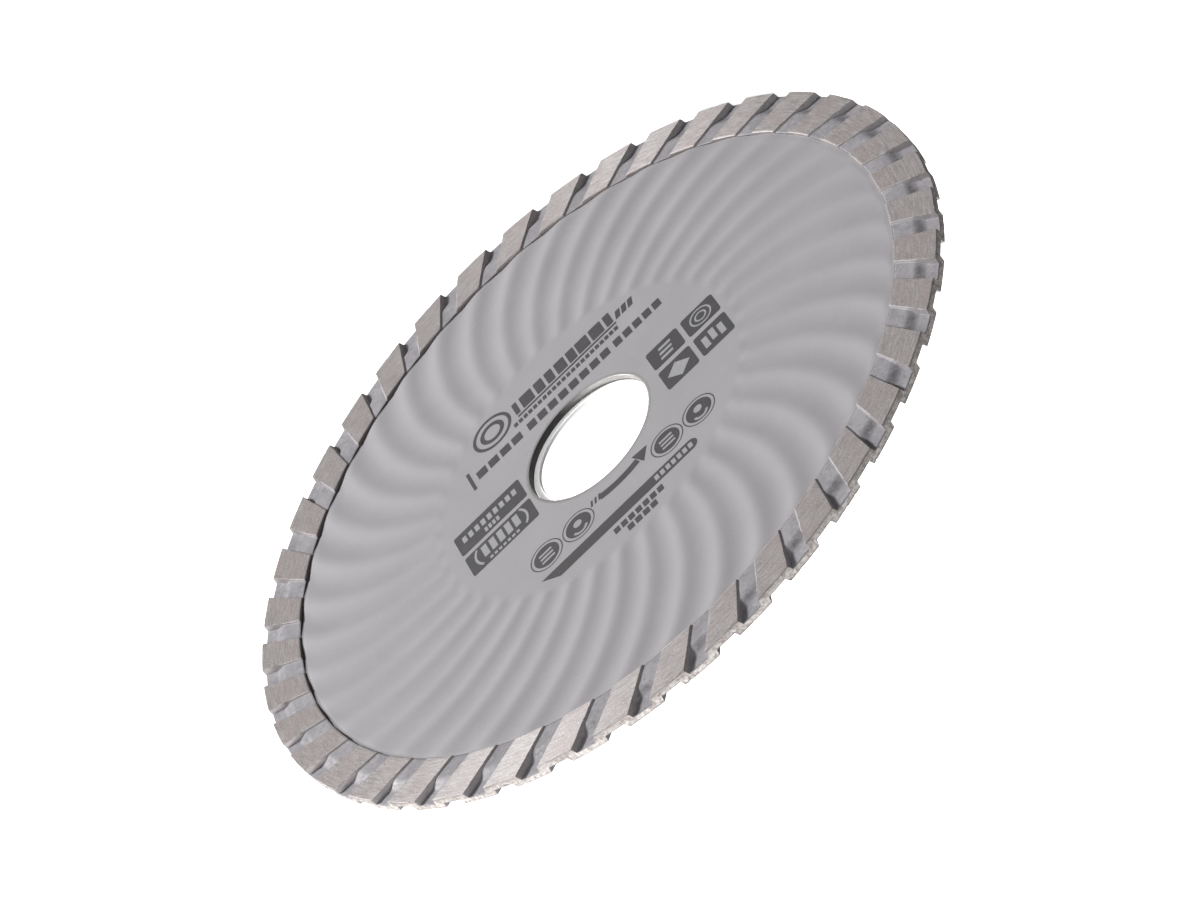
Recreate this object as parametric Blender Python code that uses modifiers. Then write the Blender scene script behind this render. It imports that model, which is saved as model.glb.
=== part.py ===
"""A 125 mm continuous-rim turbo diamond blade with a pressed wave core and a loose reducing ring.

The blade stands upright. Its spindle axis is Y, its marked front side faces -Y, and the origin is the
centre of the bore, halfway through the core. Angles run counter-clockwise as seen from the front.
"""

import math

import bmesh
import bpy
from mathutils import Matrix

MM = 0.001

# Cutting rim
OUTER_RADIUS = 62.5 * MM
RIM_INNER_RADIUS = 55.0 * MM
RIM_THICKNESS = 2.0 * MM
RIM_EDGE_CHAMFER = 0.12 * MM
RIM_SEGMENTS = 120

# Slanted notches: a shallow step over the core, then a ramp down to a deep outer pocket
NOTCH_COUNT = 40
NOTCH_PITCH = math.tau / NOTCH_COUNT
NOTCH_WIDTH = 3.5 * MM
NOTCH_SLANT = math.radians(26.0)
SHALLOW_DEPTH = 0.28 * MM
DEEP_DEPTH = 0.92 * MM
RAMP_START_RADIUS = 58.5 * MM
RAMP_END_RADIUS = 60.2 * MM
CUTTER_OVERSHOOT = 1.0 * MM

# Steel core
CORE_THICKNESS = 1.2 * MM
BORE_RADIUS = 11.1 * MM
BORE_CHAMFER = 0.15 * MM
HUB_RADIUS = 27.5 * MM
CORE_SEGMENTS = 160

# Tongue of the core inside the rim, and the groove around it
TONGUE_RADIUS = 57.8 * MM
TONGUE_THICKNESS = 0.9 * MM
JOINT_GAP = 0.05 * MM

# Pressed spiral waves
WAVE_COUNT = 40
WAVE_AMPLITUDE = 0.2 * MM
WAVE_PHASE = math.radians(3.25)
WAVE_FULL_RADIUS = 31.0 * MM
WAVE_FADE_RADIUS = 53.6 * MM
SWEEP_RATE = math.radians(0.292) / MM
SWEEP_GROWTH = math.radians(0.00972) / MM**2
WAVE_RADII = (31.0 * MM, 36.0 * MM, 42.0 * MM, 48.0 * MM)

# Reducing ring, loose in the bore and lying level with the rim's back face
RING_OUTER_RADIUS = 11.03 * MM
RING_INNER_RADIUS = 10.0 * MM
RING_THICKNESS = 0.6 * MM
RING_CHAMFER = 0.1 * MM
RING_SEGMENTS = 80

SHARP_ANGLE = math.radians(30.0)

# Turns a shape made around +Z so that its top faces the front, -Y
FACE_FRONT = Matrix.Rotation(math.radians(90.0), 4, "X")


def clear_scene():
    for old in list(bpy.data.objects):
        bpy.data.objects.remove(old, do_unlink=True)


def collection(name):
    group = bpy.data.collections.new(name)
    bpy.context.scene.collection.children.link(group)
    return group


def principled(name, colour, roughness, metallic):
    material = bpy.data.materials.new(name)
    material.use_nodes = True
    shader = material.node_tree.nodes["Principled BSDF"]
    shader.inputs["Base Color"].default_value = (*colour, 1.0)
    shader.inputs["Roughness"].default_value = roughness
    shader.inputs["Metallic"].default_value = metallic
    return material


def evaluated_mesh(source, name):
    depsgraph = bpy.context.evaluated_depsgraph_get()
    mesh = bpy.data.meshes.new_from_object(source.evaluated_get(depsgraph))
    mesh.name = name
    return mesh


def turned(name, profile, segments, group):
    """A closed profile of (radius, height) points, turned around Z by a Screw modifier."""
    mesh = bpy.data.meshes.new(name)
    points = [(radius, 0.0, height) for radius, height in profile]
    edges = [(i, (i + 1) % len(points)) for i in range(len(points))]
    mesh.from_pydata(points, edges, [])
    turned_object = bpy.data.objects.new(name, mesh)
    group.objects.link(turned_object)
    screw = turned_object.modifiers.new("turn", "SCREW")
    screw.axis = "Z"
    screw.angle = math.tau
    screw.steps = segments
    screw.render_steps = segments
    screw.use_merge_vertices = True
    screw.merge_threshold = 0.000001
    return turned_object


def finish(part, material):
    part.data.materials.clear()
    part.data.materials.append(material)
    part.data.shade_smooth()
    part.data.set_sharp_from_angle(angle=SHARP_ANGLE)


def core_profile():
    """The core's half section, clockwise from the front edge of the bore."""
    half = CORE_THICKNESS / 2
    tongue = TONGUE_THICKNESS / 2
    front = [(BORE_RADIUS + BORE_CHAMFER, half), (HUB_RADIUS, half)]
    front += [(radius, half) for radius in WAVE_RADII]
    front += [(WAVE_FADE_RADIUS, half), (RIM_INNER_RADIUS - 2 * JOINT_GAP, tongue), (TONGUE_RADIUS, tongue)]
    bore_front = (BORE_RADIUS, half - BORE_CHAMFER)
    back = [(radius, -height) for radius, height in reversed([bore_front] + front)]
    return front + back + [bore_front]


def wave_strength(radius):
    """0 on the flat hub and inside the rim, 1 where the waves have their full depth."""
    if radius >= WAVE_FADE_RADIUS + JOINT_GAP:
        return 0.0
    rise = (radius - HUB_RADIUS) / (WAVE_FULL_RADIUS - HUB_RADIUS)
    return min(max(rise, 0.0), 1.0)


def crest_angle(radius):
    """The angle of the first wave crest, which sweeps back ever faster towards the rim."""
    reach = min(max(radius, HUB_RADIUS), WAVE_FADE_RADIUS) - HUB_RADIUS
    return WAVE_PHASE - SWEEP_RATE * reach - SWEEP_GROWTH * reach**2


def make_steel_core(group, guides):
    blank = turned("core_blank", core_profile(), CORE_SEGMENTS, guides)
    mesh = evaluated_mesh(blank, "steel_core")
    bpy.data.objects.remove(blank)
    for vertex in mesh.vertices:
        radius = math.hypot(vertex.co.x, vertex.co.y)
        around = math.atan2(vertex.co.y, vertex.co.x)
        height = vertex.co.z + WAVE_AMPLITUDE * wave_strength(radius) * math.cos(WAVE_COUNT * around)
        swept = around + crest_angle(radius)
        vertex.co = (radius * math.cos(swept), radius * math.sin(swept), height)
    core = bpy.data.objects.new("steel_core", mesh)
    core.matrix_world = FACE_FRONT
    group.objects.link(core)
    finish(core, principled("painted_steel", (0.40, 0.39, 0.40), 0.42, 0.35))
    return core


def rim_profile():
    """The rim's section, with the groove that the core's tongue sits in."""
    half = RIM_THICKNESS / 2
    groove = TONGUE_THICKNESS / 2 + JOINT_GAP
    groove_radius = TONGUE_RADIUS + 2 * JOINT_GAP
    front = [
        (groove_radius, groove),
        (RIM_INNER_RADIUS, groove),
        (RIM_INNER_RADIUS, half),
        (OUTER_RADIUS - RIM_EDGE_CHAMFER, half),
        (OUTER_RADIUS, half - RIM_EDGE_CHAMFER),
    ]
    return front + [(radius, -height) for radius, height in reversed(front)]


def notch_outline():
    """Side view of one notch, as (radius, height) points."""
    face = RIM_THICKNESS / 2
    inside = RIM_INNER_RADIUS - CUTTER_OVERSHOOT
    outside = OUTER_RADIUS + CUTTER_OVERSHOOT
    return [
        (inside, face + CUTTER_OVERSHOOT),
        (inside, face - SHALLOW_DEPTH),
        (RAMP_START_RADIUS, face - SHALLOW_DEPTH),
        (RAMP_END_RADIUS, face - DEEP_DEPTH),
        (outside, face - DEEP_DEPTH),
        (outside, face + CUTTER_OVERSHOOT),
    ]


def add_notch(shape, turn, side):
    """Adds one slanted notch body to a bmesh; side is 1 for the front and -1 for the back."""
    corners = []
    for radius, height in notch_outline():
        shift = (OUTER_RADIUS - radius) * math.tan(NOTCH_SLANT)
        corners.append(shape.verts.new((radius, shift - NOTCH_WIDTH / 2, side * height)))
    outline = shape.faces.new(corners)
    grown = bmesh.ops.extrude_face_region(shape, geom=[outline])
    far_side = [item for item in grown["geom"] if isinstance(item, bmesh.types.BMVert)]
    bmesh.ops.translate(shape, vec=(0.0, NOTCH_WIDTH, 0.0), verts=far_side)
    bmesh.ops.rotate(shape, cent=(0.0, 0.0, 0.0), matrix=Matrix.Rotation(turn, 3, "Z"), verts=corners + far_side)


def make_notch_cutter(name, side, first_turn, guides):
    shape = bmesh.new()
    for index in range(NOTCH_COUNT):
        add_notch(shape, first_turn + index * NOTCH_PITCH, side)
    bmesh.ops.recalc_face_normals(shape, faces=shape.faces)
    mesh = bpy.data.meshes.new(name)
    shape.to_mesh(mesh)
    shape.free()
    cutter = bpy.data.objects.new(name, mesh)
    cutter.matrix_world = FACE_FRONT
    cutter.hide_render = True
    cutter.display_type = "WIRE"
    guides.objects.link(cutter)
    return cutter


def make_diamond_rim(group, guides):
    rim = turned("diamond_rim", rim_profile(), RIM_SEGMENTS, group)
    rim.matrix_world = FACE_FRONT
    finish(rim, principled("sintered_rim", (0.36, 0.33, 0.31), 0.8, 0.25))
    cutters = (
        make_notch_cutter("front_notches", 1, 0.0, guides),
        make_notch_cutter("back_notches", -1, NOTCH_PITCH / 2, guides),
    )
    for cutter in cutters:
        cut = rim.modifiers.new(cutter.name, "BOOLEAN")
        cut.operation = "DIFFERENCE"
        cut.solver = "EXACT"
        cut.object = cutter
    return rim


def ring_profile():
    """The ring's section around its own mid-plane."""
    half = RING_THICKNESS / 2
    front = [
        (RING_INNER_RADIUS, half - RING_CHAMFER),
        (RING_INNER_RADIUS + RING_CHAMFER, half),
        (RING_OUTER_RADIUS - RING_CHAMFER, half),
        (RING_OUTER_RADIUS, half - RING_CHAMFER),
    ]
    return front + [(radius, -height) for radius, height in reversed(front)]


def make_reducing_ring(group):
    ring = turned("reducing_ring", ring_profile(), RING_SEGMENTS, group)
    depth = (RIM_THICKNESS - RING_THICKNESS) / 2
    ring.matrix_world = Matrix.Translation((0.0, depth, 0.0)) @ FACE_FRONT
    finish(ring, principled("bright_steel", (0.75, 0.75, 0.74), 0.3, 0.9))
    return ring


def build():
    clear_scene()
    parts = collection("turbo_diamond_blade")
    guides = collection("cutters")
    make_steel_core(parts, guides)
    make_diamond_rim(parts, guides)
    make_reducing_ring(parts)


build()
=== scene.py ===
"""Looks of the 125 mm turbo diamond blade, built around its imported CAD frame.

The blade stands upright with its spindle axis along Y and its marked front towards -Y. Pieces are
made lying flat, with their front facing +Z, and FACE_FRONT then turns them upright. Lengths are in
metres, and angles run counter-clockwise as seen from the front.
"""

import math

import bpy
import numpy as np
from mathutils import Matrix, Vector


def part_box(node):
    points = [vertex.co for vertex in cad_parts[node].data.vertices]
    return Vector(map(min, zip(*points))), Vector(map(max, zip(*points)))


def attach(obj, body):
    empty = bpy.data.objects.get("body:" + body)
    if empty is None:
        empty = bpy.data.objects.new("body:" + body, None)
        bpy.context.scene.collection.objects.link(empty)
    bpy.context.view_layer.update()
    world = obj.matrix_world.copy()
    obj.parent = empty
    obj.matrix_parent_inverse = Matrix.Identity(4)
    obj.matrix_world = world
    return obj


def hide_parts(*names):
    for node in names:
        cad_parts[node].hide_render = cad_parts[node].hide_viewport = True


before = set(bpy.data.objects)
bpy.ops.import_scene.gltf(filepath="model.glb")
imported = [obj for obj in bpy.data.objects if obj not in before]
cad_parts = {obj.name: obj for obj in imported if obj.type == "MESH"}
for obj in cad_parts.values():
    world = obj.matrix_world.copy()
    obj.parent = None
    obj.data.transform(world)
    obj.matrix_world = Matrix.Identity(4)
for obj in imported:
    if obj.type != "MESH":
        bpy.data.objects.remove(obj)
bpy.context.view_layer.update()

MM = 0.001
SEED = 40125
NOISE_ROWS = 512
FACE_FRONT = Matrix.Rotation(math.radians(90.0), 4, "X")
SHARP_ANGLE = math.radians(38.0)

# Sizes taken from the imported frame
RIM_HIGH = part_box("diamond_rim")[1]
RING_LOW, RING_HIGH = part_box("reducing_ring")
OUTER_RADIUS = RIM_HIGH.x
RIM_HALF = RIM_HIGH.y
RING_OUTER_RADIUS = RING_HIGH.x
RING_HALF = (RING_HIGH.y - RING_LOW.y) / 2
RING_DEPTH = (RING_HIGH.y + RING_LOW.y) / 2

# Steel core
CORE_HALF = 0.6 * MM
BORE_RADIUS = 11.1 * MM
BORE_EDGE = 0.07 * MM
# Side of the bore's wall that gets painted light
BORE_LIT_SIDE = math.radians(-93.0)
HUB_RADIUS = 27.3 * MM
HUB_ROWS_MM = (11.6, 12.5, 15.0, 18.0, 21.0, 24.0, 26.5)
WAVE_FULL_RADIUS = 29.2 * MM
RISING_ROW_STEP = 0.19 * MM
LAST_COARSE_RADIUS = 53.9 * MM
FIRST_FINE_RADIUS = 54.0 * MM
TONGUE_RADIUS = 57.8 * MM
TONGUE_HALF = 0.30 * MM
SEAM = 0.01 * MM
PAINT, EDGE, WALL = range(3)  # the core's material slots

# Pressed waves, whose crests sweep back towards the rim, and columns of vertices in each
WAVE_COUNT = 40
WAVE_COLUMNS = 16
WAVE_PHASE = math.radians(3.25)
WAVE_START_RADIUS = 28.0 * MM
WAVE_AMPLITUDE = 0.167 * MM
WAVE_AMPLITUDE_RADIUS = 52.0 * MM
WAVE_PEAKING = 0.08
WAVE_FADE_START = 53.4 * MM
WAVE_LEFT_AT_RIM = 0.62
DIP_START_RADIUS = 54.1 * MM
DIP = 0.06 * MM
SWEEP_RATE = math.radians(0.2917) / MM
SWEEP_GROWTH = math.radians(0.00972) / MM**2

# Cutting rim
RIM_INNER_RADIUS = 55.0 * MM
NOTCH_COUNT = 40
NOTCH_PITCH = math.tau / NOTCH_COUNT
NOTCH_HALF_WIDTH = 1.75 * MM
NOTCH_WALL_RUN = 0.17 * MM
NOTCH_SLANT = math.tan(math.radians(26.0))
SHALLOW_DEPTH = 0.28 * MM
DEEP_DEPTH = 0.92 * MM
RAMP_START_RADIUS = 58.3 * MM
RAMP_END_RADIUS = 60.5 * MM
# Where a darker patch lies on each notch's ramp
RAMP_PATCH_RADIUS = 59.3 * MM
RAMP_PATCH_REACH = 0.55 * MM
OUTER_EDGE_ROUND = 0.12 * MM
INNER_EDGE_ROUND = 0.20 * MM
INNER_WALL_TOP = 0.66 * MM
GROOVE_HALF = TONGUE_HALF + 0.02 * MM

# Roughness of the rim's shape
NOTCH_WANDER = 0.05 * MM
GRAIN_HEIGHT = 0.008 * MM
DENT_HEIGHT = 0.020 * MM
CHIP_DEPTH = 0.16 * MM
CHIP_REACH = 0.35 * MM
WALL_BITE = 0.028 * MM
WALL_PIT = 0.09 * MM
DRAW_FRONT, DRAW_BACK, DRAW_BITE, DRAW_PITS = 10, 20, 31, 32

# Painted shadow in the corner beside the rim, on one side of the disc
SEAM_SHADOW_SIDE = math.radians(20.0)
SEAM_SHADOW_STRENGTH = 0.60
SEAM_SHADOW_COLOUR = (0.03, 0.028, 0.03)
SEAM_SHADOW_START_RADIUS = 54.40 * MM
SEAM_SHADOW_FULL_RADIUS = 54.85 * MM
SEAM_SHADOW_ON_RIM_FULL = RIM_INNER_RADIUS + 0.03 * MM
SEAM_SHADOW_ON_RIM_END = RIM_INNER_RADIUS + 0.14 * MM

# Direction of the grinding marks in turns, where a quarter turn runs round the disc
GRINDING_TURN = 0.186

# Reducing ring
RING_INNER_RADIUS = 10.0 * MM
RING_EDGE = 0.08 * MM
RING_SEGMENTS = 256

# Print on the hub, turned to its place among the notches
PRINT_TURN = math.radians(229.5)
INK_SUNK = 0.004 * MM
INK_HEIGHT = 0.012 * MM
LIGHT_INK_HEIGHT = 0.020 * MM

# Camera, with its lens and sensor in millimetres
VIEW_AZIMUTH = math.radians(-54.96)
VIEW_ELEVATION = math.radians(28.41)
VIEW_ROLL = math.radians(-156.0)
VIEW_DISTANCE = 697.9 * MM
VIEW_SHIFT_RIGHT = 1.29 * MM
VIEW_SHIFT_UP = -1.48 * MM
LENS = 146.17
SENSOR = 36.0

# Light and surround
WHITE = (1.0, 1.0, 1.0)
WARM = (1.0, 0.985, 0.97)
SURROUND_IN_FRONT = 0.12
SURROUND_BEHIND = 1.00
FLOOR_HALF = 3.0
FLOOR_GAP = 0.1 * MM
FLOOR_TO_LIGHT = (0.10, 0.10, 0.10)
FLOOR_GLOW = 0.80


# ---------------------------------------------------------------- helpers

def smooth(value, low, high):
    """0 below low, 1 above high, with a soft S-curve between."""
    t = np.clip((value - low) / (high - low), 0.0, 1.0)
    return t * t * (3.0 - 2.0 * t)


def ring_noise(along, around, along_cell, around_cells, draw):
    """Seeded noise from -1 to 1, closed around the disc; along is in metres, around in radians."""
    rng = np.random.default_rng(SEED + draw)
    lattice = rng.uniform(-1.0, 1.0, (NOISE_ROWS, around_cells))
    u = along / along_cell
    v = (around / math.tau) * around_cells
    u0 = np.floor(u).astype(int)
    v0 = np.floor(v).astype(int)
    fu = smooth(u - u0, 0.0, 1.0)
    fv = smooth(v - v0, 0.0, 1.0)

    def corner(du, dv):
        return lattice[(u0 + du) % NOISE_ROWS, (v0 + dv) % around_cells]

    near = corner(0, 0) * (1 - fv) + corner(0, 1) * fv
    far = corner(1, 0) * (1 - fv) + corner(1, 1) * fv
    return near * (1 - fu) + far * fu


def add_piece(name, vertices, faces, body, materials, face_materials=None):
    """A smooth-shaded mesh piece, turned upright and riding on a body."""
    mesh = bpy.data.meshes.new(name)
    mesh.from_pydata(vertices, [], faces)
    for material in materials:
        mesh.materials.append(material)
    if face_materials is not None:
        mesh.polygons.foreach_set("material_index", np.asarray(face_materials, np.int32))
    mesh.shade_smooth()
    mesh.set_sharp_from_angle(angle=SHARP_ANGLE)
    piece = bpy.data.objects.new(name, mesh)
    piece.matrix_world = FACE_FRONT
    bpy.context.scene.collection.objects.link(piece)
    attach(piece, body)
    return piece


def closed_grid(radius, angle, height):
    """Vertices and faces of a ring-shaped skin, from arrays whose rows go round the section."""
    rows, columns = radius.shape
    points = np.stack([radius * np.cos(angle), radius * np.sin(angle), height], axis=-1)
    index = np.arange(rows * columns).reshape(rows, columns)
    next_row = np.roll(index, -1, axis=0)
    next_column = np.roll(index, -1, axis=1)
    next_both = np.roll(next_row, -1, axis=1)
    quads = np.stack([index, next_row, next_both, next_column], axis=-1)
    return points.reshape(-1, 3).tolist(), quads.reshape(-1, 4).tolist()


def point_attribute(piece, name, values):
    attribute = piece.data.attributes.new(name, "FLOAT", "POINT")
    attribute.data.foreach_set("value", np.asarray(values, np.float32).ravel())


# ---------------------------------------------------------------- materials

class Nodes:
    """Short ways to build a node material."""

    def __init__(self, name):
        self.material = bpy.data.materials.new(name)
        self.material.use_nodes = True
        self.tree = self.material.node_tree
        self.shader = self.tree.nodes["Principled BSDF"]

    def new(self, kind, **settings):
        node = self.tree.nodes.new(kind)
        for key, value in settings.items():
            setattr(node, key, value)
        return node

    def link(self, source, target):
        self.tree.links.new(source, target)

    def put(self, socket, value):
        if isinstance(value, bpy.types.NodeSocket):
            self.link(value, socket)
        elif isinstance(value, tuple):
            socket.default_value = (*value, 1.0)
        else:
            socket.default_value = value

    def math(self, operation, first, second=0.0):
        node = self.new("ShaderNodeMath", operation=operation)
        self.put(node.inputs[0], first)
        self.put(node.inputs[1], second)
        return node.outputs[0]

    def spread(self, value, low, high, to_low=0.0, to_high=1.0):
        node = self.new("ShaderNodeMapRange")
        self.put(node.inputs["Value"], value)
        node.inputs["From Min"].default_value = low
        node.inputs["From Max"].default_value = high
        node.inputs["To Min"].default_value = to_low
        node.inputs["To Max"].default_value = to_high
        return node.outputs["Result"]

    def mix(self, factor, first, second):
        node = self.new("ShaderNodeMix", data_type="RGBA")
        self.put(node.inputs[0], factor)
        self.put(node.inputs[6], first)
        self.put(node.inputs[7], second)
        return node.outputs[2]

    def place(self):
        return self.new("ShaderNodeTexCoord").outputs["Object"]

    def polar(self, around_scale, radial_scale):
        """Coordinates that follow the disc: arc length round it, radius, and height."""
        split = self.new("ShaderNodeSeparateXYZ")
        self.link(self.place(), split.inputs[0])
        x, y, z = split.outputs
        angle = self.math("ARCTAN2", y, x)
        squares = self.math("ADD", self.math("MULTIPLY", x, x), self.math("MULTIPLY", y, y))
        radius = self.math("SQRT", squares)
        join = self.new("ShaderNodeCombineXYZ")
        self.link(self.math("MULTIPLY", angle, around_scale), join.inputs[0])
        self.link(self.math("MULTIPLY", radius, radial_scale), join.inputs[1])
        self.link(self.math("MULTIPLY", z, radial_scale), join.inputs[2])
        return join.outputs[0]

    def towards(self, around):
        """1 on the side of the disc at an angle in radians, -1 on the opposite side."""
        direction = self.new("ShaderNodeVectorMath", operation="NORMALIZE")
        self.link(self.place(), direction.inputs[0])
        facing = self.new("ShaderNodeVectorMath", operation="DOT_PRODUCT")
        self.link(direction.outputs["Vector"], facing.inputs[0])
        facing.inputs[1].default_value = (math.cos(around), math.sin(around), 0.0)
        return facing.outputs["Value"]

    def painted_seam_shadow(self, unshaded_radius, shaded_radius):
        """How much painted shadow a place gets: only near the rim's inner edge, on one side of the
        disc.
        """
        flat = self.new("ShaderNodeVectorMath", operation="MULTIPLY")
        self.link(self.place(), flat.inputs[0])
        flat.inputs[1].default_value = (1.0, 1.0, 0.0)
        radius = self.new("ShaderNodeVectorMath", operation="LENGTH")
        self.link(flat.outputs["Vector"], radius.inputs[0])
        near = self.spread(radius.outputs["Value"], unshaded_radius, shaded_radius)
        side = self.spread(self.towards(SEAM_SHADOW_SIDE), 0.35, 0.85, 0.0, SEAM_SHADOW_STRENGTH)
        return self.math("MULTIPLY", near, side)

    def noise(self, place, scale, detail=3.0, roughness=0.55):
        node = self.new("ShaderNodeTexNoise")
        self.link(place, node.inputs["Vector"])
        node.inputs["Scale"].default_value = scale
        node.inputs["Detail"].default_value = detail
        node.inputs["Roughness"].default_value = roughness
        return node.outputs["Fac"]

    def attribute(self, name):
        return self.new("ShaderNodeAttribute", attribute_name=name).outputs["Fac"]

    def bump(self, height, distance, strength=1.0, normal=None):
        node = self.new("ShaderNodeBump")
        node.inputs["Distance"].default_value = distance
        node.inputs["Strength"].default_value = strength
        self.link(height, node.inputs["Height"])
        if normal is not None:
            self.link(normal, node.inputs["Normal"])
        return node.outputs["Normal"]

    def finish(self, colour, roughness, metallic, normal=None):
        self.put(self.shader.inputs["Base Color"], colour)
        self.put(self.shader.inputs["Roughness"], roughness)
        self.put(self.shader.inputs["Metallic"], metallic)
        if normal is not None:
            self.link(normal, self.shader.inputs["Normal"])
        return self.material


def painted_steel():
    """Satin silver-grey paint with a fine grain and blotches, a painted highlight on the waves'
    crests, painted shade in their troughs, and a painted shadow beside the rim.
    """
    n = Nodes("painted_steel")
    grain = n.noise(n.place(), 5200.0, 2.0)
    blotch = n.noise(n.place(), 90.0, 4.0)
    rubs = n.noise(n.polar(6.0, 900.0), 1.0, 3.0)
    base = n.mix(n.spread(blotch, 0.35, 0.65), (0.432, 0.415, 0.434), (0.458, 0.441, 0.459))
    base = n.mix(n.spread(grain, 0.35, 0.65, 0.0, 0.20), base, (0.30, 0.29, 0.31))
    base = n.mix(n.spread(rubs, 0.62, 0.78, 0.0, 0.18), base, (0.55, 0.54, 0.55))
    rise = n.attribute("rise")
    # Painted highlight on the waves' crests and painted shade in their troughs
    base = n.mix(n.spread(rise, 0.0, 1.0, 0.0, 0.15), base, (0.60, 0.585, 0.60))
    base = n.mix(n.spread(rise, 0.0, -1.0, 0.0, 0.055), base, (0.22, 0.21, 0.22))
    # Painted shadow of the rim's step on the paint beside it, on one side of the disc
    base = n.mix(n.painted_seam_shadow(SEAM_SHADOW_START_RADIUS, SEAM_SHADOW_FULL_RADIUS), base, SEAM_SHADOW_COLOUR)
    roughness = n.spread(blotch, 0.3, 0.7, 0.60, 0.68)
    n.shader.inputs["Specular IOR Level"].default_value = 0.25
    return n.finish(base, roughness, 0.05, n.bump(grain, 0.004 * MM, 0.7))


def bore_edge():
    """Bare, bright deburred steel on the bore's edges."""
    n = Nodes("bore_edge")
    scratches = n.noise(n.polar(40.0, 4000.0), 1.0, 3.0)
    base = n.mix(scratches, (0.36, 0.35, 0.35), (0.56, 0.55, 0.54))
    return n.finish(base, 0.40, 0.60, n.bump(scratches, 0.004 * MM))


def bore_wall():
    """Sheared steel inside the bore, dark with painted shade and brightened with painted light
    along one side.
    """
    n = Nodes("bore_wall")
    streaks = n.noise(n.polar(900.0, 500.0), 1.0, 4.0)
    # A shaded and a lit copy of the wall's colour, picked by side: painted shade and painted light
    lit_side = n.spread(n.towards(BORE_LIT_SIDE), 0.45, 0.95)
    dark = n.mix(streaks, (0.035, 0.032, 0.032), (0.10, 0.095, 0.095))
    bright = n.mix(streaks, (0.30, 0.29, 0.29), (0.52, 0.51, 0.50))
    return n.finish(n.mix(lit_side, dark, bright), 0.5, 0.5, n.bump(streaks, 0.02 * MM))


def bright_steel():
    """Turned bare steel with fine tool marks."""
    n = Nodes("bright_steel")
    marks = n.noise(n.polar(10.0, 7000.0), 1.0, 2.0)
    blotch = n.noise(n.place(), 500.0, 3.0)
    base = n.mix(marks, (0.86, 0.86, 0.85), (0.94, 0.94, 0.93))
    base = n.mix(n.spread(blotch, 0.50, 0.75, 0.0, 0.25), base, (0.66, 0.65, 0.63))
    return n.finish(base, n.spread(marks, 0.3, 0.7, 0.36, 0.48), 0.30, n.bump(marks, 0.003 * MM))


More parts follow.
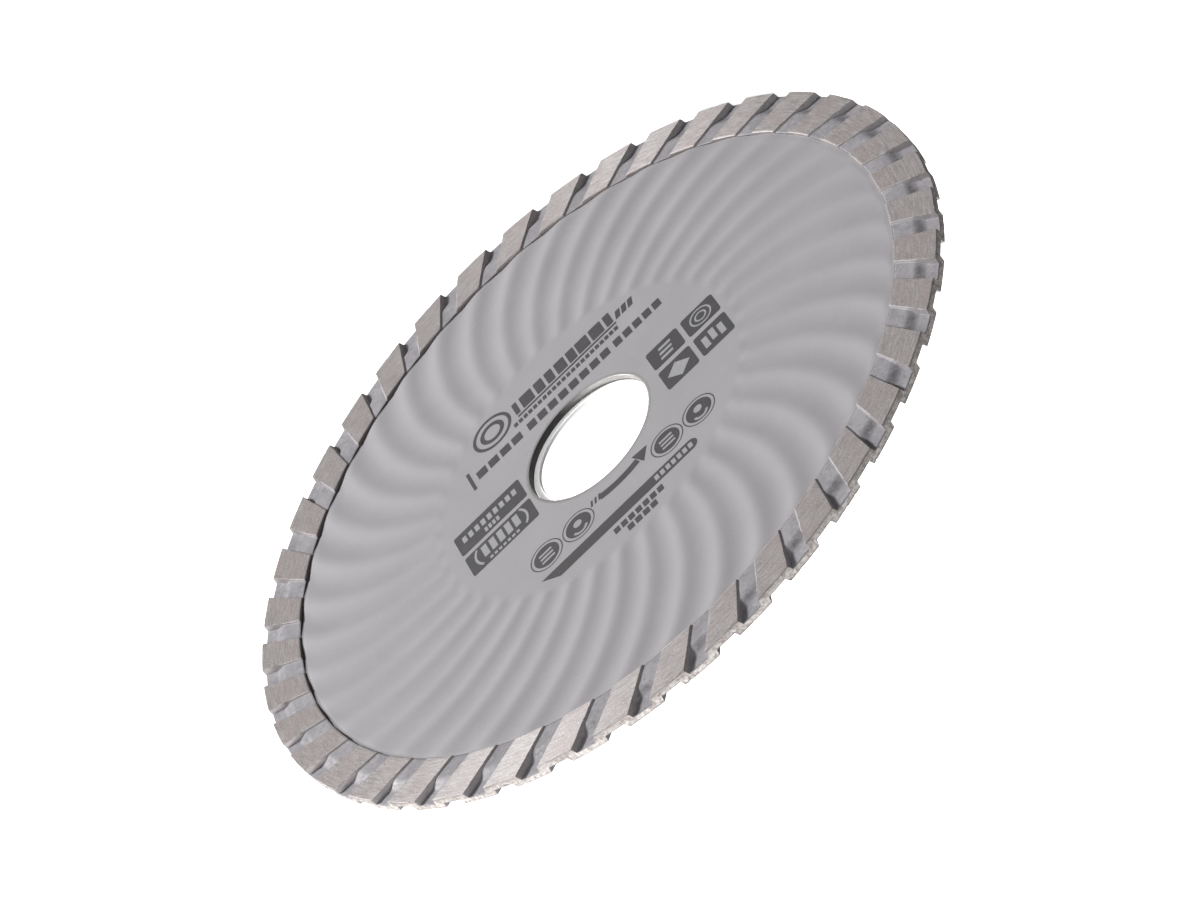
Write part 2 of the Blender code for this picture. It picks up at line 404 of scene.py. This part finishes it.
def sintered_rim():
    """Ground, gritty teeth with fine streaks, smooth grey pockets, and a pale rough outer wall."""
    n = Nodes("sintered_rim")
    pocket = n.attribute("pocket")
    outer = n.attribute("outer")
    wall = n.attribute("wall")
    streaks = n.noise(n.polar(22.0, 3000.0), 1.0, 4.0, 0.62)
    broad = n.noise(n.place(), 260.0, 4.0)
    specks = n.noise(n.place(), 4200.0, 2.0, 0.6)
    grit = n.noise(n.place(), 1500.0, 4.0, 0.7)

    tooth = n.mix(n.spread(streaks, 0.36, 0.64), (0.330, 0.298, 0.292), (0.505, 0.476, 0.470))
    tooth = n.mix(n.spread(broad, 0.42, 0.62, 0.0, 0.50), tooth, (0.41, 0.345, 0.335))
    tooth = n.mix(n.spread(specks, 0.60, 0.68, 0.0, 0.65), tooth, (0.18, 0.16, 0.155))
    tooth = n.mix(n.spread(specks, 0.39, 0.31, 0.0, 0.60), tooth, (0.76, 0.735, 0.72))

    floor = n.mix(n.spread(broad, 0.35, 0.65), (0.310, 0.296, 0.319), (0.405, 0.389, 0.411))
    floor = n.mix(n.spread(grit, 0.55, 0.66, 0.0, 0.60), floor, (0.200, 0.190, 0.205))
    floor = n.mix(n.spread(grit, 0.44, 0.34, 0.0, 0.50), floor, (0.52, 0.51, 0.52))
    # A darker patch on each notch's ramp, strongest across the middle of the notch
    ramp_patch = n.math("MULTIPLY", n.attribute("ramp"), n.spread(grit, 0.35, 0.55, 0.10, 0.45))
    floor = n.mix(ramp_patch, floor, (0.10, 0.097, 0.105))

    rough_wall = n.mix(n.spread(grit, 0.38, 0.60), (0.46, 0.41, 0.39), (0.92, 0.88, 0.855))
    rough_wall = n.mix(n.spread(specks, 0.60, 0.70, 0.0, 0.5), rough_wall, (0.22, 0.185, 0.17))

    base = n.mix(pocket, tooth, floor)
    base = n.mix(n.math("MULTIPLY", wall, 0.25), base, (0.50, 0.48, 0.48))
    # Painted shade: the outer wall darkens towards its front edge
    split = n.new("ShaderNodeSeparateXYZ")
    n.link(n.place(), split.inputs[0])
    front_edge_shade = n.spread(split.outputs["Z"], -0.3 * MM, 0.9 * MM, 0.0, 0.42)
    rough_wall = n.mix(front_edge_shade, rough_wall, (0.21, 0.18, 0.165))
    base = n.mix(outer, base, rough_wall)
    # Painted shade on the rim's inner wall, on the same side as the painted shadow
    base = n.mix(n.painted_seam_shadow(SEAM_SHADOW_ON_RIM_END, SEAM_SHADOW_ON_RIM_FULL), base, SEAM_SHADOW_COLOUR)
    normal = n.bump(streaks, 0.016 * MM, 0.7)
    normal = n.bump(specks, 0.010 * MM, 0.5, normal)
    normal = n.bump(grit, 0.03 * MM, 0.6, normal)

    # Grinding marks run roughly round the disc, so the teeth shine in a fan across it
    on_face = n.math("SUBTRACT", 1.0, outer)
    tooth_share = n.math("MULTIPLY", n.math("SUBTRACT", 1.0, pocket), on_face)
    tangent = n.new("ShaderNodeTangent", direction_type="RADIAL", axis="Z")
    n.link(tangent.outputs["Tangent"], n.shader.inputs["Tangent"])
    n.put(n.shader.inputs["Anisotropic"], n.math("MULTIPLY", tooth_share, 0.72))
    n.shader.inputs["Anisotropic Rotation"].default_value = GRINDING_TURN
    n.put(n.shader.inputs["Specular IOR Level"], n.spread(tooth_share, 0.0, 1.0, 0.20, 0.50))
    metallic = n.spread(tooth_share, 0.0, 1.0, 0.03, 0.18)
    return n.finish(base, n.spread(streaks, 0.3, 0.7, 0.43, 0.56), metallic, normal)


def ink(name, colour):
    """Screen-printed ink, a little thin and worn in places."""
    n = Nodes(name)
    speckle = n.noise(n.place(), 2600.0, 3.0)
    wear = n.noise(n.place(), 320.0, 4.0)
    lighter = tuple(min(channel * 1.5 + 0.02, 1.0) for channel in colour)
    base = n.mix(n.spread(speckle, 0.58, 0.75, 0.0, 0.5), colour, lighter)
    base = n.mix(n.spread(wear, 0.60, 0.75, 0.0, 0.35), base, lighter)
    return n.finish(base, 0.52, 0.0, n.bump(speckle, 0.003 * MM))


# ---------------------------------------------------------------- steel core

def crest_angle(radius):
    """Angle of the first wave crest at a radius."""
    reach = np.maximum(radius, WAVE_START_RADIUS) - WAVE_START_RADIUS
    return WAVE_PHASE - SWEEP_RATE * reach - SWEEP_GROWTH * reach**2


def wave_height(radius, phase):
    """Height of the waves: growing with the radius, and weaker beside the rim."""
    size = WAVE_AMPLITUDE * radius / WAVE_AMPLITUDE_RADIUS
    size = size * smooth(radius, HUB_RADIUS, WAVE_FULL_RADIUS)
    size = size * (1 - (1 - WAVE_LEFT_AT_RIM) * smooth(radius, WAVE_FADE_START, RIM_INNER_RADIUS))
    return size * (np.cos(phase) + WAVE_PEAKING * np.cos(2 * phase))


def core_section():
    """Front half of the core's section, bore first, as (radius, height, waved, material) rows."""
    rows = []
    for step in range(5):
        turn = math.radians(90.0 * step / 4)
        radius = BORE_RADIUS + BORE_EDGE * (1 - math.cos(turn))
        rows.append((radius, CORE_HALF - BORE_EDGE * (1 - math.sin(turn)), 0, EDGE))
    rows += [(radius * MM, CORE_HALF, 0, PAINT) for radius in HUB_ROWS_MM]
    rising = np.arange(HUB_RADIUS, WAVE_FULL_RADIUS, RISING_ROW_STEP)
    rows += [(radius, CORE_HALF, 1, PAINT) for radius in rising]
    last = RIM_INNER_RADIUS - SEAM
    coarse = np.linspace(WAVE_FULL_RADIUS, LAST_COARSE_RADIUS, 44)
    fine = np.linspace(FIRST_FINE_RADIUS, last, 8)
    for radius in np.concatenate([coarse, fine]):
        rows.append((radius, CORE_HALF - DIP * smooth(radius, DIP_START_RADIUS, last), 1, PAINT))
    rows += [(last, TONGUE_HALF, 0, PAINT), (TONGUE_RADIUS, TONGUE_HALF, 0, PAINT)]
    return rows


def make_core():
    """The core as one skin, with the waves pressed through both faces."""
    front = core_section()
    back = [(radius, -height, waved, skin) for radius, height, waved, skin in reversed(front)]
    rows = front + back
    columns = WAVE_COUNT * WAVE_COLUMNS
    around = np.arange(columns) * math.tau / columns
    radius = np.array([row[0] for row in rows])[:, None]
    height = np.array([row[1] for row in rows])[:, None]
    waved = np.array([row[2] for row in rows])[:, None]
    twist = crest_angle(np.minimum(radius, RIM_INNER_RADIUS))
    waves = waved * wave_height(radius, WAVE_COUNT * around[None, :])
    angle = around[None, :] + twist
    vertices, faces = closed_grid(np.broadcast_to(radius, angle.shape), angle, height + waves)
    row_material = [row[3] for row in rows]
    row_material[-1] = WALL  # the last row closes across the bore's wall
    face_materials = np.repeat(row_material, columns)
    materials = [painted_steel(), bore_edge(), bore_wall()]
    core = add_piece("wave_core", vertices, faces, "blade", materials, face_materials)
    side = np.where(np.arange(len(rows))[:, None] < len(front), 1.0, -1.0)
    point_attribute(core, "rise", side * waves / WAVE_AMPLITUDE)
    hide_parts("steel_core")


# ---------------------------------------------------------------- cutting rim

def notch_columns():
    """Column places over one pitch as (angle, offset) pairs, dense at the walls of the notches."""
    margin = 0.08 * MM
    reach = NOTCH_HALF_WIDTH + NOTCH_WALL_RUN + margin
    inside = NOTCH_HALF_WIDTH - NOTCH_WALL_RUN - margin
    wall = np.linspace(inside, reach, 9)
    floor = np.linspace(-inside, inside, 9)[1:-1]
    offsets = np.concatenate([-wall[::-1], floor, wall])
    gap = np.linspace(0.0, 1.0, 6)[1:-1]
    half_pitch = NOTCH_PITCH / 2
    columns = []
    for start in (0.0, half_pitch):
        columns += [(start, offset) for offset in offsets]
        columns += [(start + share * half_pitch, reach * (1 - 2 * share)) for share in gap]
    return columns


def rim_radii():
    """Radii of the rows over one face of the rim, dense at its edges and on the notch ramp."""
    inner = RIM_INNER_RADIUS + np.array([0.0, 0.012, 0.03, 0.06, 0.12]) * MM
    shallow = np.linspace(RIM_INNER_RADIUS + 0.4 * MM, RAMP_START_RADIUS - 0.2 * MM, 8)
    ramp = np.linspace(RAMP_START_RADIUS, RAMP_END_RADIUS + 0.1 * MM, 13)
    deep = np.linspace(RAMP_END_RADIUS + 0.35 * MM, OUTER_RADIUS - 0.25 * MM, 7)
    outer = OUTER_RADIUS - np.array([0.12, 0.08, 0.045, 0.02, 0.005, 0.0]) * MM
    return np.concatenate([inner, shallow, ramp, deep, outer])


def edge_drop(radius):
    """How far the rounded inner and outer edges fall below the face."""
    outer = np.clip((radius - (OUTER_RADIUS - OUTER_EDGE_ROUND)) / OUTER_EDGE_ROUND, 0.0, 1.0)
    inner = np.clip(((RIM_INNER_RADIUS + INNER_EDGE_ROUND) - radius) / INNER_EDGE_ROUND, 0.0, 1.0)
    outer_drop = OUTER_EDGE_ROUND * (1 - np.sqrt(1 - outer**2))
    return outer_drop + INNER_EDGE_ROUND * (1 - np.sqrt(1 - inner**2))


def notch_mask(radius, angle, centre, draw):
    """1 on a notch's floor, 0 on the teeth; angle is measured along the slanted columns."""
    away = (angle - centre + NOTCH_PITCH / 2) % NOTCH_PITCH - NOTCH_PITCH / 2
    wander = NOTCH_WANDER * ring_noise(radius, angle % math.tau, 0.9 * MM, 560, draw)
    floor_end = NOTCH_HALF_WIDTH - NOTCH_WALL_RUN
    wall_end = NOTCH_HALF_WIDTH + NOTCH_WALL_RUN
    return 1.0 - smooth(np.abs(away * radius) + wander, floor_end, wall_end)


def face_height(radius, angle, centre, draw):
    """Height of one face above the mid-plane, and its notch mask."""
    mask = notch_mask(radius, angle, centre, draw)
    ramp = smooth(radius, RAMP_START_RADIUS, RAMP_END_RADIUS)
    depth = SHALLOW_DEPTH + (DEEP_DEPTH - SHALLOW_DEPTH) * ramp
    grain = GRAIN_HEIGHT * ring_noise(radius, angle % math.tau, 0.22 * MM, 1800, draw + 1)
    dents = DENT_HEIGHT * ring_noise(radius, angle % math.tau, 1.1 * MM, 420, draw + 2)
    chips = smooth(ring_noise(radius, angle % math.tau, 0.25 * MM, 1100, draw + 3), 0.45, 1.0)
    edge = smooth(radius, OUTER_RADIUS - CHIP_REACH, OUTER_RADIUS)
    lowered = np.minimum(grain + dents * mask, 0.0) - CHIP_DEPTH * chips * edge * (1 - mask)
    return RIM_HALF - edge_drop(radius) - depth * mask + lowered, mask


def make_rim():
    """The rim as one skin: front face, outer wall, back face, and the groove for the core."""
    columns = notch_columns()
    one_pitch = np.array([angle for angle, _ in columns])
    pitches = [one_pitch + index * NOTCH_PITCH for index in range(NOTCH_COUNT)]
    base_angle = np.concatenate(pitches)[None, :]
    offset = np.tile(np.array([value for _, value in columns]), NOTCH_COUNT)[None, :]
    radii = rim_radii()[:, None]
    angle = base_angle + offset / radii
    front, front_mask = face_height(radii, angle, 0.0, DRAW_FRONT)
    back, back_mask = face_height(radii, angle, NOTCH_PITCH / 2, DRAW_BACK)

    wall_shares = np.linspace(0.0, 1.0, 10)[1:-1][:, None]
    wall_radius = np.broadcast_to(radii[-1:], (len(wall_shares), base_angle.shape[1]))
    wall_angle = np.repeat(angle[-1:], len(wall_shares), axis=0)
    wall_height = front[-1] * (1 - wall_shares) - back[-1] * wall_shares
    along = wall_height + 2 * MM
    bite = ring_noise(along, wall_angle % math.tau, 0.22 * MM, 1700, DRAW_BITE)
    pits = ring_noise(along, wall_angle % math.tau, 0.5 * MM, 800, DRAW_PITS)
    pits = smooth(pits, 0.35, 0.9)
    wall_radius = wall_radius - WALL_BITE * (1 + bite) - WALL_PIT * pits

    groove_radius = TONGUE_RADIUS + 2 * SEAM
    inner_rows = [(RIM_INNER_RADIUS, -INNER_WALL_TOP), (RIM_INNER_RADIUS, -GROOVE_HALF)]
    inner_rows += [(groove_radius, -GROOVE_HALF), (groove_radius, GROOVE_HALF)]
    inner_rows += [(RIM_INNER_RADIUS, GROOVE_HALF), (RIM_INNER_RADIUS, INNER_WALL_TOP)]
    inner_radius = np.array([row[0] for row in inner_rows])[:, None]
    inner_angle = base_angle + offset / inner_radius
    inner_z = np.broadcast_to(np.array([row[1] for row in inner_rows])[:, None], inner_angle.shape)

    shape = angle.shape
    radius_all = np.concatenate([
        np.broadcast_to(radii, shape), wall_radius, np.broadcast_to(radii, shape)[::-1],
        np.broadcast_to(inner_radius, inner_angle.shape),
    ])
    angle_all = np.concatenate([angle, wall_angle, angle[::-1], inner_angle])
    height_all = np.concatenate([front, wall_height, -back[::-1], inner_z])
    slant = NOTCH_SLANT * (OUTER_RADIUS - radius_all) / radius_all
    vertices, faces = closed_grid(radius_all, angle_all + slant, height_all)
    rim = add_piece("cutting_rim", vertices, faces, "blade", [sintered_rim()])

    wall_zero = np.zeros_like(wall_angle)
    inner_zero = np.zeros_like(inner_angle)
    pocket = np.concatenate([front_mask, wall_zero, back_mask[::-1], inner_zero])
    outer = np.concatenate([np.zeros(shape), wall_zero + 1.0, np.zeros(shape), inner_zero])
    point_attribute(rim, "pocket", pocket)
    point_attribute(rim, "wall", 4 * pocket * (1 - pocket))
    point_attribute(rim, "outer", outer)
    # Where the darker patch lies on each notch's ramp
    ramp = np.exp(-(((radius_all - RAMP_PATCH_RADIUS) / RAMP_PATCH_REACH) ** 2))
    across = np.concatenate([offset / NOTCH_HALF_WIDTH] * len(radius_all))
    point_attribute(rim, "ramp", ramp * np.exp(-2.2 * across**2) * smooth(pocket, 0.75, 1.0))
    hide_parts("diamond_rim")
    return rim


# ---------------------------------------------------------------- reducing ring

def make_ring():
    """Turned ring with small rounded edges."""
    inside, outside = RING_INNER_RADIUS + RING_EDGE, RING_OUTER_RADIUS - RING_EDGE
    front, back = RING_HALF - RING_EDGE, RING_EDGE - RING_HALF
    quarter = [math.radians(angle) for angle in (0, 30, 60, 90)]
    section = []
    corners = ((inside, front, 180), (outside, front, 90), (outside, back, 0), (inside, back, -90))
    for centre_radius, centre_height, start in corners:
        for turn in quarter:
            direction = math.radians(start) - turn
            radius = centre_radius + RING_EDGE * math.cos(direction)
            section.append((radius, centre_height + RING_EDGE * math.sin(direction)))
    shape = (len(section), RING_SEGMENTS)
    around = np.arange(RING_SEGMENTS)[None, :] * math.tau / RING_SEGMENTS
    radius = np.broadcast_to(np.array([point[0] for point in section])[:, None], shape)
    height = np.broadcast_to(np.array([point[1] for point in section])[:, None] - RING_DEPTH, shape)
    vertices, faces = closed_grid(radius, np.broadcast_to(around, shape), height)
    ring = add_piece("bore_ring", vertices, faces, "ring", [bright_steel()])
    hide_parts("reducing_ring")
    return ring


# ---------------------------------------------------------------- print

def arc(cx, cy, radius, start, end, steps):
    """Points on an arc, in millimetres and degrees."""
    turns = np.radians(np.linspace(start, end, steps))
    return [(cx + radius * math.cos(turn), cy + radius * math.sin(turn)) for turn in turns]


def box(x0, y0, x1, y1, corner=0.0):
    """Outline of a rectangle with optional rounded corners."""
    if corner == 0.0:
        return [(x0, y0), (x1, y0), (x1, y1), (x0, y1)]
    outline = arc(x1 - corner, y0 + corner, corner, -90, 0, 6)
    outline += arc(x1 - corner, y1 - corner, corner, 0, 90, 6)
    outline += arc(x0 + corner, y1 - corner, corner, 90, 180, 6)
    return outline + arc(x0 + corner, y0 + corner, corner, 180, 270, 6)


def disc(cx, cy, radius, steps=48):
    """Outline of a circle."""
    return arc(cx, cy, radius, 0, 360, steps + 1)[:-1]


def band(cx, cy, inner, outer, start, end, steps=32):
    """Outline of an arc-shaped bar."""
    return arc(cx, cy, outer, start, end, steps) + arc(cx, cy, inner, end, start, steps)


def lean(outline, base, share):
    """Slants an outline to the right as it rises above base."""
    return [(x + (y - base) * share, y) for x, y in outline]


def row(x0, x1, y0, y1, count, gap=0.3):
    """Equal bars side by side, standing in for a line of marks."""
    width = (x1 - x0 - gap * (count - 1)) / count
    starts = [x0 + i * (width + gap) for i in range(count)]
    return [box(start, y0, start + width, y1) for start in starts]


def add_print(name, outlines, rings, low, high, material):
    """Ink shapes as thin closed prisms; rings are (x, y, inner, outer) circles with a hole."""
    vertices, faces = [], []
    cosine, sine = math.cos(PRINT_TURN), math.sin(PRINT_TURN)

    def place(x, y, z):
        vertices.append(((x * cosine - y * sine) * MM, (x * sine + y * cosine) * MM, z))

    for outline in outlines:
        first, count = len(vertices), len(outline)
        for z in (low, high):
            for x, y in outline:
                place(x, y, z)
        faces.append([first + i for i in reversed(range(count))])
        faces.append([first + count + i for i in range(count)])
        for i in range(count):
            after = (i + 1) % count
            faces.append([first + i, first + after, first + count + after, first + count + i])
    for cx, cy, inner, outer in rings:
        first, count = len(vertices), 64
        for radius, z in ((inner, high), (outer, high), (outer, low), (inner, low)):
            for x, y in disc(cx, cy, radius, count):
                place(x, y, z)
        for line in range(4):
            here, there = first + line * count, first + (line + 1) % 4 * count
            for i in range(count):
                after = (i + 1) % count
                faces.append([here + i, there + i, there + after, here + after])
    add_piece(name, vertices, faces, "blade", [material])


def make_print():
    """Plain bars, panels and round figures, laid out in millimetres around the bore."""
    dark = ink("dark_ink", (0.066, 0.062, 0.066))
    light = ink("light_ink", (0.40, 0.39, 0.41))
    low = CORE_HALF - INK_SUNK
    high = CORE_HALF + INK_HEIGHT
    on_ink = high - INK_SUNK
    top = CORE_HALF + LIGHT_INK_HEIGHT

    # Heading: a plain round emblem, a line of solid blocks, an underline and two rows of small bars
    spans = [(-7.1, -6.2), (-5.6, -3.2), (-2.7, -1.0), (-0.5, 1.0), (1.5, 3.5)]
    spans += [(3.9, 5.5), (5.8, 8.2), (8.6, 11.0), (11.5, 12.8)]
    heading = [box(x0, 19.0, x1, 22.2, 0.2) for x0, x1 in spans]
    heading += [lean(outline, 18.9, 0.25) for outline in row(13.2, 16.6, 18.9, 20.9, 3)]
    heading += [box(-7.0, 18.15, 13.0, 18.65)]
    heading += row(-8.3, 12.8, 16.6, 17.6, 22, 0.25)
    heading += [box(-18.5, 11.6, -17.9, 16.6)]
    for x0, x1, count in ((-17.0, -8.0, 4), (-6.7, 9.8, 8), (10.8, 20.1, 5)):
        heading += row(x0, x1, 13.0, 15.0, count, 0.5)
    emblem_rings = [(-11.6, 20.5, 3.1, 3.7), (-11.6, 20.5, 1.5, 2.3)]
    add_print("print_heading", heading, emblem_rings, low, high, dark)

    # Two wide panels on the left and four square ones on the right, with light marks
    panels = [box(-25.1, 0.2, -12.1, 5.5, 0.4), box(-25.1, -6.1, -12.1, -0.7, 0.4)]
    for x0, x1 in ((13.5, 19.6), (20.4, 26.6)):
        panels += [box(x0, 0.2, x1, 5.3, 0.5), box(x0, -6.4, x1, -0.9, 0.5)]
    add_print("print_panels", panels, [], low, high, dark)
    marks = row(-23.9, -13.3, 2.7, 4.2, 9, 0.45) + row(-20.2, -17.4, 0.8, 1.9, 4, 0.25)
    marks += row(-22.2, -15.0, -4.2, -1.4, 5, 0.5) + row(-21.6, -15.8, -5.6, -5.0, 7, 0.3)
    marks += [band(-20.4, -3.2, 3.0, 3.4, 140, 220, 12), band(-16.8, -3.2, 3.0, 3.4, -40, 40, 12)]
    marks += [lean(box(15.2, 1.2 + 1.2 * i, 17.5, 1.8 + 1.2 * i), 1.2, 0.15) for i in range(3)]
    marks += [[(14.4, -3.6), (16.5, -5.6), (18.7, -3.6), (16.5, -1.7)]]
    for i, lift in enumerate((0.0, 0.5, 0.0)):
        marks += [box(21.4 + 1.5 * i, -5.2 + lift, 22.4 + 1.5 * i, -2.4 + lift)]
    mark_rings = [(23.5, 2.75, 1.7, 2.0), (23.5, 2.75, 0.8, 1.1)]
    add_print("print_panel_marks", marks, mark_rings, on_ink, top, light)

    # Turning arrow below the bore
    arrow = [band(0.0, 0.0, 14.0, 15.4, 257.0, 286.0)]
    arrow += [[(3.5, -12.5), (4.8, -15.5), (6.4, -12.8)]]
    for i in range(3):
        arrow += [lean(box(-5.3 + 0.75 * i, -14.7, -4.9 + 0.75 * i, -13.4), -14.7, 0.3)]
    add_print("print_arrow", arrow, [], low, high, dark)

    # Four round marks, each a thin ring round a dark disc with its own light figure
    centres = [(-14.4, -15.6), (-8.2, -15.7), (9.1, -15.8), (15.3, -15.8)]
    discs = [disc(x, y, 2.3) for x, y in centres]
    add_print("print_round_marks", discs, [(x, y, 2.75, 2.95) for x, y in centres], low, high, dark)
    figures = []
    for index, (x, y) in enumerate(centres):
        if index % 2 == 0:
            for i in (-1, 0, 1):
                figures += [box(x - 1.2, y - 0.35 + 0.9 * i, x + 1.2, y + 0.1 + 0.9 * i)]
        else:
            figures += [disc(x, y + 0.45, 0.75, 24), band(x, y - 0.6, 1.0, 1.45, 200, 340, 16)]
    add_print("print_round_figures", figures, [], on_ink, top, light)

    # Foot bar with light marks, and two short rows below it
    foot = [[(-17.1, -19.9), (-14.2, -22.3)] + arc(11.5, -21.1, 1.2, -90, 90, 12)]
    foot += row(-4.4, 5.0, -24.6, -23.2, 7, 0.35) + row(-2.5, 3.1, -26.4, -25.0, 4, 0.35)
    add_print("print_foot", foot, [], low, high, dark)
    add_print("print_foot_marks", row(4.6, 11.8, -21.7, -20.5, 7, 0.35), [], on_ink, top, light)


# ---------------------------------------------------------------- stage, light and camera

def disc_direction(around, above):
    """Direction at an angle round the disc and an elevation above its front face, in degrees."""
    turn, rise = math.radians(around), math.radians(above)
    flat = math.cos(rise)
    return Vector((math.cos(turn) * flat, -math.sin(rise), math.sin(turn) * flat))


def add_light(name, around, above, distance, size, power, colour=WHITE, only=None):
    """A round soft light aimed at the bore; with only, it lights that one piece."""
    data = bpy.data.lights.new(name, "AREA")
    data.shape = "DISK"
    data.size = size
    data.energy = power
    data.color = colour
    light = bpy.data.objects.new(name, data)
    direction = disc_direction(around, above)
    light.location = direction * distance
    light.rotation_mode = "QUATERNION"
    light.rotation_quaternion = direction.to_track_quat("Z", "Y")
    if only is not None:
        lit = bpy.data.collections.new(name + "_lit")
        lit.objects.link(only)
        light.light_linking.receiver_collection = lit
    bpy.context.scene.collection.objects.link(light)


def make_world():
    """White to the camera; as a light, dimmer in front of the marked side than behind the blade."""
    world = bpy.data.worlds.new("surround")
    world.use_nodes = True
    tree = world.node_tree
    background = tree.nodes["Background"]
    background.inputs["Color"].default_value = (*WHITE, 1.0)
    split = tree.nodes.new("ShaderNodeSeparateXYZ")
    tree.links.new(tree.nodes.new("ShaderNodeTexCoord").outputs["Generated"], split.inputs[0])
    side = tree.nodes.new("ShaderNodeMapRange")
    side.inputs["From Min"].default_value = 0.05
    side.inputs["From Max"].default_value = 0.60
    side.inputs["To Min"].default_value = SURROUND_IN_FRONT
    side.inputs["To Max"].default_value = SURROUND_BEHIND
    tree.links.new(split.outputs["Y"], side.inputs["Value"])
    strength = tree.nodes.new("ShaderNodeMapRange")
    strength.inputs["To Max"].default_value = 1.0
    tree.links.new(side.outputs["Result"], strength.inputs["To Min"])
    rays = tree.nodes.new("ShaderNodeLightPath")
    tree.links.new(rays.outputs["Is Camera Ray"], strength.inputs["Value"])
    tree.links.new(strength.outputs["Result"], background.inputs["Strength"])
    bpy.context.scene.world = world


def make_floor():
    """A plain pale floor just below the blade, which throws little light back up at it."""
    half, level = FLOOR_HALF, -OUTER_RADIUS - FLOOR_GAP
    mesh = bpy.data.meshes.new("floor")
    corners = ((-half, -half), (half, -half), (half, half), (-half, half))
    mesh.from_pydata([(x, y, level) for x, y in corners], [], [(0, 1, 2, 3)])
    n = Nodes("pale_floor")
    mottle = n.noise(n.place(), 3.0, 2.0)
    seen = n.new("ShaderNodeLightPath").outputs["Is Camera Ray"]
    pale = n.mix(mottle, (0.78, 0.78, 0.78), (0.82, 0.82, 0.82))
    n.finish(n.mix(seen, FLOOR_TO_LIGHT, pale), 0.8, 0.0)
    n.put(n.shader.inputs["Emission Color"], WHITE)
    n.put(n.shader.inputs["Emission Strength"], n.math("MULTIPLY", seen, FLOOR_GLOW))
    mesh.materials.append(n.material)
    floor = bpy.data.objects.new("floor", mesh)
    bpy.context.scene.collection.objects.link(floor)


def make_camera():
    """The photo's view: a rolled camera, shifted a little off the bore."""
    data = bpy.data.cameras.new("camera")
    data.lens = LENS
    data.sensor_width = SENSOR
    data.clip_start = 0.01
    data.clip_end = 20.0
    camera = bpy.data.objects.new("camera", data)
    flat = math.cos(VIEW_ELEVATION)
    aside, forward = math.sin(VIEW_AZIMUTH) * flat, -math.cos(VIEW_AZIMUTH) * flat
    back = Vector((aside, forward, math.sin(VIEW_ELEVATION)))
    level = Vector((0.0, 0.0, 1.0)).cross(back).normalized()
    upright = back.cross(level)
    right = level * math.cos(VIEW_ROLL) + upright * math.sin(VIEW_ROLL)
    up = back.cross(right)
    turn = Matrix((right, up, back)).transposed()
    place = back * VIEW_DISTANCE + right * VIEW_SHIFT_RIGHT + up * VIEW_SHIFT_UP
    camera.matrix_world = Matrix.Translation(place) @ turn.to_4x4()
    bpy.context.scene.collection.objects.link(camera)
    bpy.context.scene.camera = camera


make_core()
rim = make_rim()
ring = make_ring()
make_print()
make_floor()
make_world()
add_light("key", around=6.0, above=39.0, distance=2.5, size=0.50, power=76.0)
add_light("overhead", around=84.0, above=-12.0, distance=1.8, size=0.70, power=22.0, colour=WARM)
add_light("rim_fill", around=121.5, above=20.0, distance=1.8, size=0.60, power=7.0, only=rim)
add_light("ring_fill", around=190.0, above=78.0, distance=1.8, size=0.60, power=52.0, only=ring)
make_camera()
bpy.context.scene.view_settings.view_transform = "Standard"
